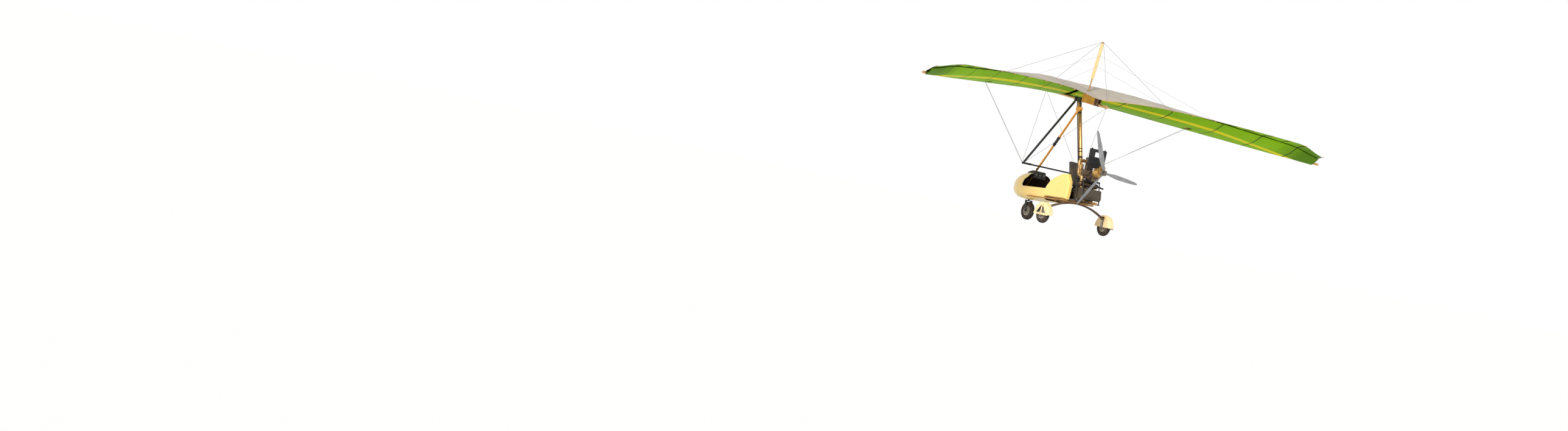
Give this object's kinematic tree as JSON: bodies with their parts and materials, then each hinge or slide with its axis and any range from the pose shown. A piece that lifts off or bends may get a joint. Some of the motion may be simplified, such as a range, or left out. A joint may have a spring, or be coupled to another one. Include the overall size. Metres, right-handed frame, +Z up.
{
  "type": "flex-wing microlight aircraft",
  "caption": "Open tandem two-seat weight-shift microlight: pusher-engined three-wheel car hung under a kingposted fabric delta wing with a cable-braced control frame.",
  "frame": {"origin": "on the ground under the middle of the machine's length and span", "axes": "+X forward towards the nose, +Y to the left wing tip, +Z up"},
  "size_m": [3.4083, 10.13, 3.7942],
  "materials": {
    "frame_metal": "satin",
    "mast_metal": "anodised",
    "strut_metal": "anodised gold",
    "black_metal": "black",
    "bow_metal": "dark",
    "wing_tube": "anodised",
    "pod_shell": "gloss",
    "spat_shell": "gloss",
    "post_shell": "gloss",
    "dash_plastic": "matte",
    "seat_cloth": "woven",
    "tank_plastic": "matte",
    "engine_metal": "cast",
    "gearbox_metal": "cast",
    "radiator_black": "matt black",
    "exhaust_steel": "heated",
    "wheel_alloy": "satin",
    "tyre_rubber": "matte",
    "blade": "satin",
    "hub_metal": "satin",
    "sail_cloth": "woven",
    "pocket_cloth": "woven",
    "batten_dark": "matte",
    "stay_wire": "bright"
  },
  "bodies": {
    "trike": {"base_tube": "frame_metal", "mast": "mast_metal", "mast_head": "mast_metal", "front_strut": "strut_metal", "strut_sleeve": "black_metal", "side_rails": "frame_metal", "pod_fairing": "pod_shell", "instrument_panel": "dash_plastic", "side_panel_left": "pod_shell", "side_panel_right": "pod_shell", "front_seat": "seat_cloth", "rear_seat": "seat_cloth", "seat_frame": "frame_metal", "fuel_tank": "tank_plastic", "engine_mount": "frame_metal", "crankcase": "engine_metal", "cylinders": "engine_metal", "gearbox": "gearbox_metal", "carburettors": "engine_metal", "radiator": "radiator_black", "exhaust_pipe": "exhaust_steel", "muffler": "exhaust_steel", "gear_bow": "bow_metal", "stub_axle_left": "frame_metal", "stub_axle_right": "frame_metal", "spat_left": "spat_shell", "spat_right": "spat_shell"},
    "nose_fork": {"nose_fork": "black_metal", "foot_bar": "black_metal"},
    "nose_wheel": {"nose_rim": "wheel_alloy", "nose_tyre": "tyre_rubber"},
    "main_wheel_left": {"left_rim": "wheel_alloy", "left_tyre": "tyre_rubber"},
    "main_wheel_right": {"right_rim": "wheel_alloy", "right_tyre": "tyre_rubber"},
    "propeller": {"propeller_hub": "hub_metal", "propeller_blades": "blade"},
    "hang_block": {"hang_block": "black_metal"},
    "wing": {"keel_tube": "wing_tube", "nose_plates": "wing_tube", "leading_edge_left": "wing_tube", "leading_edge_right": "wing_tube", "sail_left": "sail_cloth", "sail_right": "sail_cloth", "sail_root_strip": "sail_cloth", "keel_pocket": "pocket_cloth", "battens_left": "batten_dark", "battens_right": "batten_dark", "kingpost": "wing_tube", "kingpost_fairing": "post_shell", "apex_bracket": "black_metal", "downtubes": "black_metal", "base_bar": "black_metal", "lower_stays": "stay_wire", "upper_stays": "stay_wire"}
  },
  "joints": [
    {"name": "nose_steering", "type": "hinge", "parent": "trike", "child": "nose_fork", "pos_m": [1.208, 0, 0.45], "axis": [0, 0, 1], "range_deg": [-25, 25]},
    {"name": "nose_wheel_spin", "type": "hinge", "parent": "nose_fork", "child": "nose_wheel", "pos_m": [1.165, 0, 0.182], "axis": [0, 1, 0], "continuous": true},
    {"name": "left_wheel_spin", "type": "hinge", "parent": "trike", "child": "main_wheel_left", "pos_m": [-0.392, 0.7785, 0.182], "axis": [0, 1, 0], "continuous": true},
    {"name": "right_wheel_spin", "type": "hinge", "parent": "trike", "child": "main_wheel_right", "pos_m": [-0.392, -0.7785, 0.182], "axis": [0, 1, 0], "continuous": true},
    {"name": "propeller_spin", "type": "hinge", "parent": "trike", "child": "propeller", "pos_m": [-1.032, 0, 1.224], "axis": [1, 0, 0], "continuous": true},
    {"name": "wing_pitch", "type": "hinge", "parent": "trike", "child": "hang_block", "pos_m": [0.226, 0, 2.5], "axis": [0, -1, 0], "range_deg": [-12, 10]},
    {"name": "wing_roll", "type": "hinge", "parent": "hang_block", "child": "wing", "pos_m": [0.22006, 0, 2.57978], "axis": [0.9972, 0, 0.0743], "range_deg": [-20, 20]}
  ]
}
